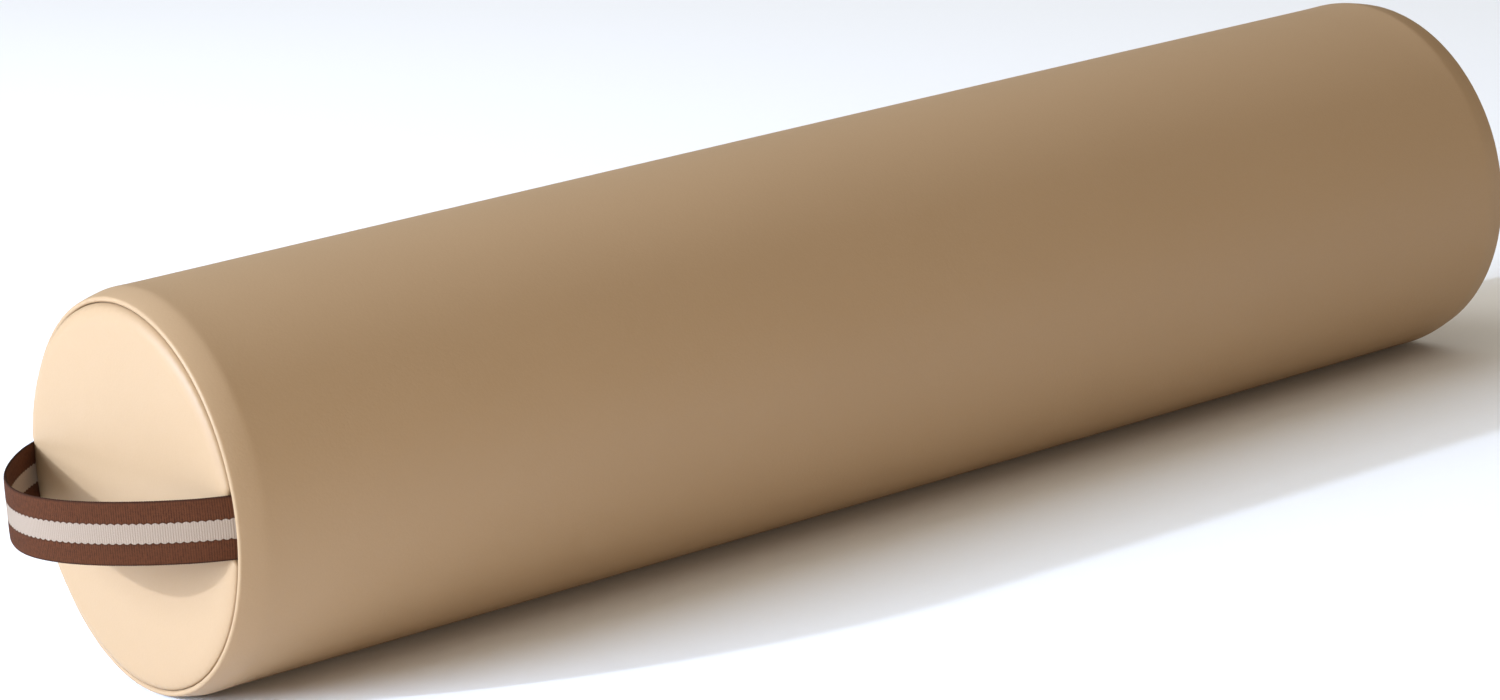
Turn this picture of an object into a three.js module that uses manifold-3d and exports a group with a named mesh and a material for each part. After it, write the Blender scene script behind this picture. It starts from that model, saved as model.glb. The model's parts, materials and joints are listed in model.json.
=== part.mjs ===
// A full-round massage bolster, lying on its side: a foam core in a soft wrap, a leatherette cover of
// one tube panel and two round end panels, a zip along the back and a webbing handle on one end.
//
// Millimetres. +X runs along the bolster, away from the handle. +Z is up, and -Y is the side without
// the zip. The origin is on the floor, under the middle of the bolster.
import * as THREE from 'three'
import { mergeVertices } from 'three/addons/utils/BufferGeometryUtils.js'
import Module from 'manifold-3d'

// Driving dimensions: the bolster
const DIAMETER = 152.4
const SEAM_TO_SEAM = 640
const DOME = 5 // how far each end panel stands out past its seam, at its centre
const FLOOR_FLAT_HALF_ANGLE = 9 // degrees each side of straight down that rest flat on the floor

// Driving dimensions: the cover and its filling
const COVER_THICKNESS = 1
const WRAP_THICKNESS = 6
const CORNER_RADIUS = 10 // the rounded edge between the tube and an end
const SEAM_RADIUS = 71.6 // the end seam lies part of the way round that edge
const END_PAD_RADIUS = 66
const END_PAD_DEPTH = 9.2 // from the seam plane inwards
const GAP = 0.3 // clearance between neighbouring pieces
const ROOM = 1 // past the zip's tapes, where the wrap is cut back for them
const ZIP_DROP = 0.15 // extra room between the zip's tapes and the slider's lower plate

// Driving dimensions: the webbing handle
const WEBBING_WIDTH = 23.5
const WEBBING_THICKNESS = 1.5
const HANDLE_HALF_SPAN = 69 // from the bolster's axis to each place where the webbing is sewn in
const HANDLE_REACH = 46 // from the seam plane to the middle of the loop
const HANDLE_ROOT_PULL = [11, 65] // a control point of each half's curve, [out from the seam plane, span]
const HANDLE_TIP_PULL = 34
const HANDLE_STEPS = 36
const HANDLE_HINGE = 14.4 // from the seam plane to the line that the loop bends about
const HANDLE_END_RADIUS = 11.5 // the loop's ends are round about that line
const TAIL_INSIDE = 9
const TAIL_OUTSIDE = 1.9

// Driving dimensions: the zip
const ZIP_ELEVATION = 12 // degrees above level, on the +Y side
const CHAIN_LENGTH = 560
const SLOT_LENGTH = 572
const SLOT_HALF_WIDTH = 5
const TAPE_LENGTH = 600
const TAPE_WIDTH = 16
const TAPE_THICKNESS = 0.6
const CHAIN_HALF_WIDTH = 2.95
const CHAIN_SPLIT = 0.6 // half of the slit between the two coils, for the slider's bridge
const COIL_HEIGHT = 1.7
const STOP_LENGTH = 3
const SLIDER_LENGTH = 11
const SLIDER_WIDTH = 8.8
const PLATE_THICKNESS = 1.2
const CROWN_WIDTH = 2.4
const CROWN_LENGTH = 7
const CROWN_THICKNESS = 1
const BRIDGE_LENGTH = 3
const CROWN_HOLE_HEIGHT = 1.8
const CROWN_POST = 1.2
const PULL_LENGTH = 24
const PULL_WIDTH = 7
const PULL_THICKNESS = 1.2
const PULL_WINDOW_LENGTH = 3.7
const PULL_WINDOW_WIDTH = 3.4
const PULL_HOLE_RADIUS = 1.6

const ROUND_STEPS = 60
const RADIUS = DIAMETER / 2
const HALF_LENGTH = SEAM_TO_SEAM / 2
const FLAT_COSINE = Math.cos(THREE.MathUtils.degToRad(FLOOR_FLAT_HALF_ANGLE))
const AXIS_HEIGHT = RADIUS * FLAT_COSINE
const CORNER_CENTRE_RADIUS = RADIUS - CORNER_RADIUS
const SEAM_ANGLE = Math.asin((SEAM_RADIUS - CORNER_CENTRE_RADIUS) / CORNER_RADIUS)
const CORNER_CENTRE_DEPTH = CORNER_RADIUS * Math.cos(SEAM_ANGLE) // from the seam plane inwards
const FACE_EDGE = CORNER_RADIUS - CORNER_CENTRE_DEPTH // how far the edge's outermost line stands out
const FILLING_HALF_LENGTH = HALF_LENGTH - END_PAD_DEPTH - GAP

const wasm = await Module()
wasm.setup()

// ---- materials ----

const finish = (color, roughness, metalness = 0) =>
  new THREE.MeshStandardMaterial({ color, roughness, metalness })
const leatherette = finish(0xdcbd90, 0.5)
const foam = finish(0xf1e7c4, 0.95)
const wadding = finish(0xf4f2ec, 1)
const webbing = finish(0x5f3a2a, 0.85)
const zipTape = finish(0xcdb492, 0.9)
const zipCoil = finish(0xd6c09c, 0.45)
const zipMetal = finish(0xb9b4aa, 0.35, 0.9)

// ---- solids ----

function solidOf(geometry) {
  const bare = geometry.clone()
  bare.deleteAttribute('normal')
  bare.deleteAttribute('uv')
  const merged = mergeVertices(bare, 1e-4)
  const mesh = new wasm.Mesh({
    numProp: 3,
    vertProperties: new Float32Array(merged.attributes.position.array),
    triVerts: new Uint32Array(merged.index.array),
  })
  return new wasm.Manifold(mesh)
}

function geometryOf(solid) {
  const mesh = solid.getMesh()
  const geometry = new THREE.BufferGeometry()
  geometry.setAttribute('position', new THREE.BufferAttribute(mesh.vertProperties, 3))
  geometry.setIndex(new THREE.BufferAttribute(mesh.triVerts, 1))
  geometry.computeVertexNormals()
  return geometry
}

const cut = (body, ...tools) =>
  geometryOf(tools.reduce((left, tool) => left.subtract(solidOf(tool)), solidOf(body)))
const join = (...bodies) =>
  geometryOf(bodies.slice(1).reduce((sum, body) => sum.add(solidOf(body)), solidOf(bodies[0])))
const common = (body, tool) => geometryOf(solidOf(body).intersect(solidOf(tool)))

// A box from its lowest corner to its highest.
function box(low, high) {
  const size = high.map((value, axis) => value - low[axis])
  const middle = high.map((value, axis) => (value + low[axis]) / 2)
  return new THREE.BoxGeometry(...size).translate(...middle)
}

// Turns a profile of [x, radius] points about the X axis, and flattens it where it rests on the floor.
function turned(profile) {
  const points = profile.map(([x, radius]) => new THREE.Vector2(radius, x))
  const geometry = new THREE.LatheGeometry(points, ROUND_STEPS, Math.PI / ROUND_STEPS)
  const toX = new THREE.Matrix4().makeBasis(
    new THREE.Vector3(0, 1, 0), new THREE.Vector3(1, 0, 0), new THREE.Vector3(0, 0, -1),
  )
  geometry.applyMatrix4(toX)
  const position = geometry.attributes.position
  for (let i = 0; i < position.count; i++) {
    const radius = Math.hypot(position.getY(i), position.getZ(i))
    position.setZ(i, Math.max(position.getZ(i), -radius * FLAT_COSINE))
  }
  return geometry
}

// An outline in the YZ plane, pushed out along X and centred on x = 0.
function alongX(shape, length) {
  const geometry = new THREE.ExtrudeGeometry(shape, { depth: length, bevelEnabled: false })
  const toX = new THREE.Matrix4().makeBasis(
    new THREE.Vector3(0, 1, 0), new THREE.Vector3(0, 0, 1), new THREE.Vector3(1, 0, 0),
  )
  return geometry.applyMatrix4(toX).translate(-length / 2, 0, 0)
}

// ---- profiles of the cover ----

// Points round the rounded edge at the +X end, on a surface `depth` under the cover's outer one.
function edgeArc(depth, fromAngle, toAngle, steps) {
  const points = []
  for (let i = 0; i <= steps; i++) {
    const angle = THREE.MathUtils.lerp(fromAngle, toAngle, i / steps)
    points.push([
      HALF_LENGTH - CORNER_CENTRE_DEPTH + (CORNER_RADIUS - depth) * Math.cos(angle),
      CORNER_CENTRE_RADIUS + (CORNER_RADIUS - depth) * Math.sin(angle),
    ])
  }
  return points
}

// Points across the domed end from its rounded edge to its centre, `depth` under the outer surface.
function domePoints(depth, edgeRadius, steps) {
  const points = []
  for (let i = 0; i <= steps; i++) {
    const radius = edgeRadius * (1 - i / steps)
    const rise = (DOME - FACE_EDGE) * (1 - (radius / CORNER_CENTRE_RADIUS) ** 2)
    points.push([HALF_LENGTH + FACE_EDGE + rise - depth, radius])
  }
  return points
}

const mirrored = points => points.map(([x, radius]) => [-x, radius]).reverse()

function tubePanelGeometry() {
  const outer = edgeArc(0, SEAM_ANGLE, Math.PI / 2, 4)
  const inner = edgeArc(COVER_THICKNESS, SEAM_ANGLE, Math.PI / 2, 4)
  const outerLine = [...mirrored(outer).reverse(), ...outer.reverse()]
  const innerLine = [...inner, ...mirrored(inner)]
  return turned([...outerLine, ...innerLine, outerLine[0]])
}

function endPanelGeometry() {
  const edge = SEAM_ANGLE - GAP / CORNER_RADIUS
  const inner = [
    ...domePoints(COVER_THICKNESS, CORNER_CENTRE_RADIUS, 4).reverse(),
    ...edgeArc(COVER_THICKNESS, 0, edge, 2).slice(1),
  ]
  const outer = [
    ...edgeArc(0, edge, 0, 2),
    ...domePoints(0, CORNER_CENTRE_RADIUS, 4).slice(1),
  ]
  return turned([...inner, ...outer])
}

function endPadGeometry() {
  const start = HALF_LENGTH - END_PAD_DEPTH
  return turned([
    [start, 0],
    [start, END_PAD_RADIUS],
    ...domePoints(COVER_THICKNESS + GAP, END_PAD_RADIUS, 4),
  ])
}

// ---- the handle ----

// The loop's middle line in the XY plane, from one sewn end to the other, at x distances from the seam.
function handlePath() {
  const half = side => [
    new THREE.Vector2(0, side * HANDLE_HALF_SPAN),
    new THREE.Vector2(-HANDLE_ROOT_PULL[0], side * HANDLE_ROOT_PULL[1]),
    new THREE.Vector2(-HANDLE_REACH, side * HANDLE_TIP_PULL),
    new THREE.Vector2(-HANDLE_REACH, 0),
  ]
  const path = new THREE.CurvePath()
  path.add(new THREE.CubicBezierCurve(...half(-1)))
  path.add(new THREE.CubicBezierCurve(...half(1).reverse()))
  return path
}

function handleLoopGeometry() {
  const path = handlePath()
  const sides = [[], []]
  for (let i = 0; i <= HANDLE_STEPS; i++) {
    const point = path.getPoint(i / HANDLE_STEPS)
    const tangent = path.getTangent(i / HANDLE_STEPS)
    const across = new THREE.Vector2(-tangent.y, tangent.x).multiplyScalar(WEBBING_THICKNESS / 2)
    sides[0].push(point.clone().add(across))
    sides[1].push(point.clone().sub(across))
  }
  const outline = new THREE.Shape([...sides[0], ...sides[1].reverse()])
  const band = new THREE.ExtrudeGeometry(outline, { depth: WEBBING_WIDTH, bevelEnabled: false })
  band.translate(0, 0, -WEBBING_WIDTH / 2)
  const reach = HANDLE_REACH + WEBBING_WIDTH
  const beyondHinge = box([-reach, -RADIUS, -WEBBING_WIDTH], [-HANDLE_HINGE, RADIUS, WEBBING_WIDTH])
  const roundEnds = new THREE.CylinderGeometry(HANDLE_END_RADIUS, HANDLE_END_RADIUS, DIAMETER, 48)
  roundEnds.translate(-HANDLE_HINGE, 0, 0)
  return common(band, join(beyondHinge, roundEnds))
}

function handleTailGeometry(side) {
  const near = side * HANDLE_HALF_SPAN - WEBBING_THICKNESS / 2
  const half = WEBBING_WIDTH / 2
  return box([-TAIL_OUTSIDE, near, -half], [TAIL_INSIDE, near + WEBBING_THICKNESS, half])
}

function tailSlot(side) {
  const half = WEBBING_THICKNESS / 2 + GAP
  const reach = WEBBING_WIDTH / 2 + GAP
  const middle = side * HANDLE_HALF_SPAN
  return box([-DOME, middle - half, -reach], [DOME, middle + half, reach])
}

// ---- the zip: Z is out of the cover and Y runs round it, with the cover's surface at z = RADIUS ----

const TAPE_TOP = RADIUS - COVER_THICKNESS - GAP
const TAPE_BOTTOM = TAPE_TOP - TAPE_THICKNESS
const COIL_BOTTOM = TAPE_TOP + GAP
const COIL_TOP = COIL_BOTTOM + COIL_HEIGHT
const TOP_PLATE = COIL_TOP + GAP // the underside of the slider's top plate
const BOTTOM_PLATE = TAPE_BOTTOM - GAP - ZIP_DROP // the top of its bottom plate
const SLIDER_TOP = TOP_PLATE + PLATE_THICKNESS
const SLIDER_START = -CHAIN_LENGTH / 2 + STOP_LENGTH + GAP
const SLIDER_MIDDLE = SLIDER_START + SLIDER_LENGTH / 2
const PULL_BAR_HEIGHT = SLIDER_TOP + CROWN_HOLE_HEIGHT / 2

// A strip that follows the cover round, from one Y to another, between two radii.
function curvedStrip(fromY, toY, innerRadius, outerRadius, length) {
  const from = Math.PI / 2 - fromY / RADIUS
  const to = Math.PI / 2 - toY / RADIUS
  const shape = new THREE.Shape()
  shape.absarc(0, 0, outerRadius, from, to, true)
  shape.absarc(0, 0, innerRadius, to, from, false)
  return alongX(shape, length)
}

function zipTapeGeometry(side) {
  const [from, to] = side > 0 ? [CHAIN_SPLIT, TAPE_WIDTH] : [-TAPE_WIDTH, -CHAIN_SPLIT]
  return curvedStrip(from, to, TAPE_BOTTOM, TAPE_TOP, TAPE_LENGTH)
}

function zipCoilGeometry(side) {
  const [from, to] = side > 0 ? [CHAIN_SPLIT, CHAIN_HALF_WIDTH] : [-CHAIN_HALF_WIDTH, -CHAIN_SPLIT]
  const half = CHAIN_LENGTH / 2 - STOP_LENGTH - GAP
  return box([-half, from, COIL_BOTTOM], [half, to, COIL_TOP])
}

function topStopGeometry(side) {
  const [from, to] = side > 0 ? [CHAIN_SPLIT, CHAIN_HALF_WIDTH] : [-CHAIN_HALF_WIDTH, -CHAIN_SPLIT]
  const start = -CHAIN_LENGTH / 2
  return box([start, from, COIL_BOTTOM], [start + STOP_LENGTH, to, TOP_PLATE + GAP])
}

function bottomStopGeometry() {
  const end = CHAIN_LENGTH / 2
  const top = TOP_PLATE + GAP
  return box([end - STOP_LENGTH, -CHAIN_HALF_WIDTH, COIL_BOTTOM], [end, CHAIN_HALF_WIDTH, top])
}

function sliderGeometry() {
  const end = SLIDER_START + SLIDER_LENGTH
  const half = SLIDER_WIDTH / 2
  const flangeInside = CHAIN_HALF_WIDTH + GAP
  const bridgeHalf = CHAIN_SPLIT - GAP
  const crown = CROWN_WIDTH / 2
  const crownStart = SLIDER_MIDDLE - CROWN_LENGTH / 2
  const crownEnd = SLIDER_MIDDLE + CROWN_LENGTH / 2
  const beam = SLIDER_TOP + CROWN_HOLE_HEIGHT
  const crownTop = beam + CROWN_THICKNESS
  const bottom = BOTTOM_PLATE - PLATE_THICKNESS
  const bridgeEnd = SLIDER_START + BRIDGE_LENGTH
  const topPlate = box([SLIDER_START, -half, TOP_PLATE], [end, half, SLIDER_TOP])
  const bottomPlate = box([SLIDER_START, -half, bottom], [end, half, BOTTOM_PLATE])
  const flanges = [-1, 1].map(side => {
    const [from, to] = side > 0 ? [flangeInside, half] : [-half, -flangeInside]
    return box([SLIDER_START, from, COIL_BOTTOM], [end, to, TOP_PLATE + GAP])
  })
  const bridge = box(
    [SLIDER_START, -bridgeHalf, BOTTOM_PLATE - GAP],
    [bridgeEnd, bridgeHalf, TOP_PLATE + GAP],
  )
  const posts = [crownStart, crownEnd - CROWN_POST].map(start =>
    box([start, -crown, SLIDER_TOP - GAP], [start + CROWN_POST, crown, crownTop]))
  const crownBeam = box([crownStart, -crown, beam], [crownEnd, crown, crownTop])
  return join(topPlate, bottomPlate, ...flanges, bridge, ...posts, crownBeam)
}

function pullGeometry() {
  const half = PULL_WIDTH / 2
  const radius = PULL_THICKNESS / 2
  const low = PULL_BAR_HEIGHT - radius
  const high = PULL_BAR_HEIGHT + radius
  const bar = new THREE.CylinderGeometry(radius, radius, PULL_WIDTH, 16)
  bar.translate(SLIDER_MIDDLE, 0, PULL_BAR_HEIGHT)
  const tip = SLIDER_MIDDLE + PULL_LENGTH
  const plate = box([SLIDER_MIDDLE, -half, low], [tip - half, half, high])
  const roundTip = new THREE.CylinderGeometry(half, half, PULL_THICKNESS, 32)
  roundTip.rotateX(Math.PI / 2).translate(tip - half, 0, PULL_BAR_HEIGHT)
  const windowStart = SLIDER_MIDDLE + radius
  const windowHalf = PULL_WINDOW_WIDTH / 2
  const eye = box([SLIDER_MIDDLE - radius, -windowHalf, low - 1],
    [windowStart + PULL_WINDOW_LENGTH, windowHalf, high + 1])
  const fingerHole = new THREE.CylinderGeometry(
    PULL_HOLE_RADIUS, PULL_HOLE_RADIUS, 3 * PULL_THICKNESS, 24,
  )
  fingerHole.rotateX(Math.PI / 2).translate(tip - half, 0, PULL_BAR_HEIGHT)
  return join(cut(join(plate, roundTip), eye, fingerHole), bar)
}

// ---- the filling, cut back under the zip ----

function wrapGeometry() {
  const outer = RADIUS - COVER_THICKNESS - GAP
  const inner = outer - WRAP_THICKNESS
  const half = FILLING_HALF_LENGTH
  const tube = turned([[-half, outer], [half, outer], [half, inner], [-half, inner], [-half, outer]])
  const tapeReach = TAPE_WIDTH + ROOM
  const tapeRoom = curvedStrip(
    -tapeReach, tapeReach, TAPE_BOTTOM - GAP, RADIUS, TAPE_LENGTH + 2 * ROOM,
  )
  const sliderFloor = BOTTOM_PLATE - PLATE_THICKNESS - GAP
  const sliderHalf = SLIDER_WIDTH / 2 + GAP
  const reach = SLOT_LENGTH / 2
  const sliderRoom = box([-reach, -sliderHalf, sliderFloor], [reach, sliderHalf, RADIUS])
  return cut(tube, tapeRoom.rotateX(ZIP_TURN), sliderRoom.rotateX(ZIP_TURN))
}

function coreGeometry() {
  const radius = RADIUS - COVER_THICKNESS - GAP - WRAP_THICKNESS - GAP
  const half = FILLING_HALF_LENGTH
  return turned([[-half, 0], [-half, radius], [half, radius], [half, 0]])
}

// ---- assembly ----

const ZIP_TURN = THREE.MathUtils.degToRad(ZIP_ELEVATION - 90)

const group = new THREE.Group()
const bolster = new THREE.Group()
bolster.position.z = AXIS_HEIGHT
group.add(bolster)

function add(parent, name, geometry, material) {
  const mesh = new THREE.Mesh(geometry, material)
  mesh.name = name
  parent.add(mesh)
  return mesh
}

add(bolster, 'foam_core', coreGeometry(), foam)
add(bolster, 'foam_wrap', wrapGeometry(), wadding)

const slotCutter = box(
  [-SLOT_LENGTH / 2, -SLOT_HALF_WIDTH, RADIUS - WRAP_THICKNESS],
  [SLOT_LENGTH / 2, SLOT_HALF_WIDTH, RADIUS + WRAP_THICKNESS],
)
add(bolster, 'tube_panel', cut(tubePanelGeometry(), slotCutter.rotateX(ZIP_TURN)), leatherette)

add(bolster, 'plain_end_pad', endPadGeometry(), wadding)
add(bolster, 'plain_end_panel', endPanelGeometry(), leatherette)

const handleEnd = new THREE.Group()
handleEnd.position.x = -HALF_LENGTH
bolster.add(handleEnd)
const turnedRound = geometry => geometry.rotateZ(Math.PI).translate(HALF_LENGTH, 0, 0)
const slots = [-1, 1].map(tailSlot)
add(handleEnd, 'handle_end_pad', turnedRound(endPadGeometry()), wadding)
add(handleEnd, 'handle_end_panel', cut(turnedRound(endPanelGeometry()), ...slots), leatherette)
add(handleEnd, 'handle_loop', handleLoopGeometry(), webbing)
add(handleEnd, 'handle_tail_front', handleTailGeometry(-1), webbing)
add(handleEnd, 'handle_tail_back', handleTailGeometry(1), webbing)

const zip = new THREE.Group()
zip.rotation.x = ZIP_TURN
bolster.add(zip)
for (const [side, place] of [[-1, 'upper'], [1, 'lower']]) {
  add(zip, `zip_tape_${place}`, zipTapeGeometry(side), zipTape)
  add(zip, `zip_coil_${place}`, zipCoilGeometry(side), zipCoil)
  add(zip, `zip_top_stop_${place}`, topStopGeometry(side), zipMetal)
}
add(zip, 'zip_bottom_stop', bottomStopGeometry(), zipMetal)
add(zip, 'zip_slider', sliderGeometry(), zipMetal)
add(zip, 'zip_pull', pullGeometry(), zipMetal)

export default group
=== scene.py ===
"""A round massage bolster: a leatherette cover over foam, a zip along its back and a webbing handle.

Metres, in the CAD frame: +X runs along the bolster away from the handle, +Z is up, -Y faces the camera.
"""

import json
import math

import bmesh
import bpy
import numpy as np
from mathutils import Matrix, Vector


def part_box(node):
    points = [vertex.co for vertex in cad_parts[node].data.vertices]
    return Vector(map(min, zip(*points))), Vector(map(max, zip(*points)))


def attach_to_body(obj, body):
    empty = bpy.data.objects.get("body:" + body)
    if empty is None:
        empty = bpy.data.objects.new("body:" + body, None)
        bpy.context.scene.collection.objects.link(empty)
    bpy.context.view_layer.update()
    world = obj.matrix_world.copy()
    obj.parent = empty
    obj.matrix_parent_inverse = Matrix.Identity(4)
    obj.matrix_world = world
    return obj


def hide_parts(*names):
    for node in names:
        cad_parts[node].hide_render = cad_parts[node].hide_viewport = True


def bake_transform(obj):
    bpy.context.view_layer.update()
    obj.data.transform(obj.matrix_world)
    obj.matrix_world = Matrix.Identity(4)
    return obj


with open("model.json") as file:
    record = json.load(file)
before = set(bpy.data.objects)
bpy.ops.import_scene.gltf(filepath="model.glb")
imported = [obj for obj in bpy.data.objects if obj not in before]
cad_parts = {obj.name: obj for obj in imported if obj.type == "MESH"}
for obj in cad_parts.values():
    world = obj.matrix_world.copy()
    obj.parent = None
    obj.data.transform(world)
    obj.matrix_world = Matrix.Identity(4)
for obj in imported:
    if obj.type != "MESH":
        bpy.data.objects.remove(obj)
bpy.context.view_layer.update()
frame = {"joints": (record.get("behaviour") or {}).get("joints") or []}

MM = 0.001
joints = {joint["name"]: joint for joint in frame["joints"]}

# ---- places and sizes, from the frame ----

CAD_ROUND_STEPS = 60
tube_low, tube_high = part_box("tube_panel")
SEAM_X = tube_high.x  # the end seams lie at x = -SEAM_X and x = SEAM_X
RADIUS = (tube_high.y - tube_low.y) / 2 / math.cos(math.pi / CAD_ROUND_STEPS)
AXIS_Z = joints["handle_swing"]["pos_m"][2]
LENGTH = 2 * SEAM_X
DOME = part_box("plain_end_panel")[1].x - SEAM_X
COVER = 1.0 * MM  # thickness of the leatherette
pull_axis = Vector(joints["pull_swing"]["pos_m"])
ZIP_ANGLE = math.atan2(pull_axis.z - AXIS_Z, pull_axis.y)  # above level, on the +Y side

# ---- arrays and meshes ----


def smoothstep(low, high, value):
    t = np.clip((np.asarray(value, float) - low) / (high - low), 0, 1)
    return t * t * (3 - 2 * t)


def bell(value, middle, spread):
    return np.exp(-(((np.asarray(value, float) - middle) / spread) ** 2))


def new_object(name, data):
    thing = bpy.data.objects.new(name, data)
    bpy.context.scene.collection.objects.link(thing)
    return thing


def dressed(piece, material):
    piece.data.materials.append(material)
    return piece


def mesh_object(name, points, faces, attributes=None, smooth=True):
    """A mesh from points and faces, with coinciding points welded and faces pointing out."""
    mesh = bpy.data.meshes.new(name)
    mesh.from_pydata(points.tolist(), [], faces.tolist() if hasattr(faces, "tolist") else faces)
    for key, values in (attributes or {}).items():
        kind, field = ("FLOAT_VECTOR", "vector") if values.ndim == 2 else ("FLOAT", "value")
        layer = mesh.attributes.new(key, kind, "POINT")
        layer.data.foreach_set(field, values.astype(np.float32).ravel())
    work = bmesh.new()
    work.from_mesh(mesh)
    bmesh.ops.remove_doubles(work, verts=work.verts, dist=1e-7)
    bmesh.ops.dissolve_degenerate(work, edges=work.edges, dist=1e-8)
    bmesh.ops.recalc_face_normals(work, faces=work.faces)
    work.to_mesh(mesh)
    work.free()
    mesh.polygons.foreach_set("use_smooth", [smooth] * len(mesh.polygons))
    return new_object(name, mesh)


def grid_faces(rows, columns, start=0):
    corner = start + np.arange(rows - 1)[:, None] * columns + np.arange(columns - 1)[None, :]
    quads = np.stack([corner, corner + 1, corner + columns + 1, corner + columns], -1)
    return quads.reshape(-1, 4)


def closed_sheet(name, outer, inner, attributes=None, columns_closed=False):
    """A sheet with thickness: two grids of points, and walls along its open edges."""
    rows, columns = outer.shape[:2]
    count = rows * columns
    faces = [grid_faces(rows, columns), grid_faces(rows, columns, count)]
    edges = [np.arange(columns), (rows - 1) * columns + np.arange(columns)]
    if not columns_closed:
        edges += [np.arange(rows) * columns, np.arange(rows) * columns + columns - 1]
    for edge in edges:
        faces.append(np.stack([edge[:-1], edge[1:], edge[1:] + count, edge[:-1] + count], -1))
    points = np.concatenate([outer.reshape(-1, 3), inner.reshape(-1, 3)])
    doubled = {}
    for key, values in (attributes or {}).items():
        flat = values.reshape(count, -1)
        flat = np.concatenate([flat, flat])
        doubled[key] = flat if flat.shape[1] == 3 else flat[:, 0]
    return mesh_object(name, points, np.concatenate(faces), doubled)


def swept_tube(path, normals, radius, sides, across=None, squareness=2.0):
    """Points and faces of a closed tube along a path. across is its radius sideways, if not round."""
    tangents = np.gradient(path, axis=0)
    tangents /= np.linalg.norm(tangents, axis=1)[:, None]
    side = np.cross(tangents, normals)
    side /= np.linalg.norm(side, axis=1)[:, None]
    up = np.cross(side, tangents)
    angles = np.linspace(0, 2 * math.pi, sides, endpoint=False)
    cosine, sine = np.cos(angles), np.sin(angles)
    wide = (radius if across is None else across) * np.sign(cosine) * np.abs(cosine) ** (2 / squareness)
    high = radius * np.sign(sine) * np.abs(sine) ** (2 / squareness)
    points = path[:, None] + side[:, None] * wide[None, :, None] + up[:, None] * high[None, :, None]
    count = len(path)
    faces = []
    for k in range(sides):
        following = (k + 1) % sides
        a = np.arange(count - 1) * sides
        faces.append(np.stack([a + k, a + following, a + sides + following, a + sides + k], -1))
    caps = [list(range(sides))[::-1], [(count - 1) * sides + k for k in range(sides)]]
    return points.reshape(-1, 3), np.concatenate(faces).tolist() + caps


def joined(parts):
    """One list of points and one of faces from several."""
    points, faces, start = [], [], 0
    for part_points, part_faces in parts:
        points.append(np.asarray(part_points, float))
        faces += [[index + start for index in face] for face in part_faces]
        start += len(part_points)
    return np.concatenate(points), faces


def round_bolster(x, radius, angle):
    """Points at a distance along the bolster, a radius and an angle above level on the +Y side."""
    x, radius, angle = np.broadcast_arrays(x, radius, angle)
    return np.stack([x, radius * np.cos(angle), AXIS_Z + radius * np.sin(angle)], -1)


def rest_on_floor(points, depth=0.0):
    """Flattens what would lie under the floor, or nearer to it than depth, with a soft edge."""
    softness = 0.35 * MM
    rise = (points[..., 2] - depth) / softness
    points[..., 2] = depth + softness * np.logaddexp(0, rise)
    return points


# ---- materials ----


class Recipe:
    """A node material. Its inputs are numbers, colours or the outputs of nodes."""

    def __init__(self, name):
        self.material = bpy.data.materials.new(name)
        self.material.use_nodes = True
        self.tree = self.material.node_tree
        self.shader = self.tree.nodes["Principled BSDF"]

    def put(self, socket, value):
        if isinstance(value, bpy.types.NodeSocket):
            self.tree.links.new(value, socket)
        else:
            socket.default_value = value

    def fill(self, node, inputs):
        for key, value in inputs.items():
            self.put(node.inputs[key], value)

    def add(self, kind, inputs=None, **settings):
        node = self.tree.nodes.new("ShaderNode" + kind)
        for key, value in settings.items():
            setattr(node, key, value)
        self.fill(node, inputs or {})
        return node

    def place(self):
        """The object's own coordinates, in metres."""
        return self.add("TexCoord").outputs["Object"]

    def attribute(self, name, output="Fac"):
        return self.add("Attribute", attribute_name=name).outputs[output]

    def maths(self, operation, first, second=0.0):
        return self.add("Math", {0: first, 1: second}, operation=operation).outputs[0]

    def noise(self, vector, scale, detail=2.0, roughness=0.5):
        inputs = {"Vector": vector, "Scale": scale, "Detail": detail, "Roughness": roughness}
        return self.add("TexNoise", inputs).outputs["Fac"]

    def between(self, factor, low, high):
        """A number from low to high as factor goes from 0 to 1."""
        return self.add("MapRange", {"Value": factor, "To Min": low, "To Max": high}).outputs["Result"]

    def ramp(self, value, low, high, most=1.0):
        """A number from 0 to most as value goes from low to high."""
        inputs = {"Value": value, "From Min": low, "From Max": high, "To Max": most}
        return self.add("MapRange", inputs).outputs["Result"]

    def mix(self, factor, first, second):
        node = self.add("Mix", data_type="RGBA")
        colours = [socket for socket in node.inputs if socket.type == "RGBA"]
        values = [socket for socket in node.inputs if socket.type == "VALUE"]
        for socket, value in ((values[0], factor), (colours[0], first), (colours[1], second)):
            self.put(socket, value)
        return next(socket for socket in node.outputs if socket.type == "RGBA")

    def bump(self, height, distance, strength=1.0, normal=None):
        inputs = {"Height": height, "Distance": distance, "Strength": strength}
        if normal is not None:
            inputs["Normal"] = normal
        return self.add("Bump", inputs).outputs["Normal"]

    def finish(self, inputs):
        self.fill(self.shader, inputs)
        return self.material


def colour(red, green, blue):
    return (red, green, blue, 1.0)


def shade(rgb, factor):
    return tuple(channel * factor for channel in rgb[:3]) + (1.0,)


LEATHERETTE = colour(0.38, 0.246, 0.133)


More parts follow.
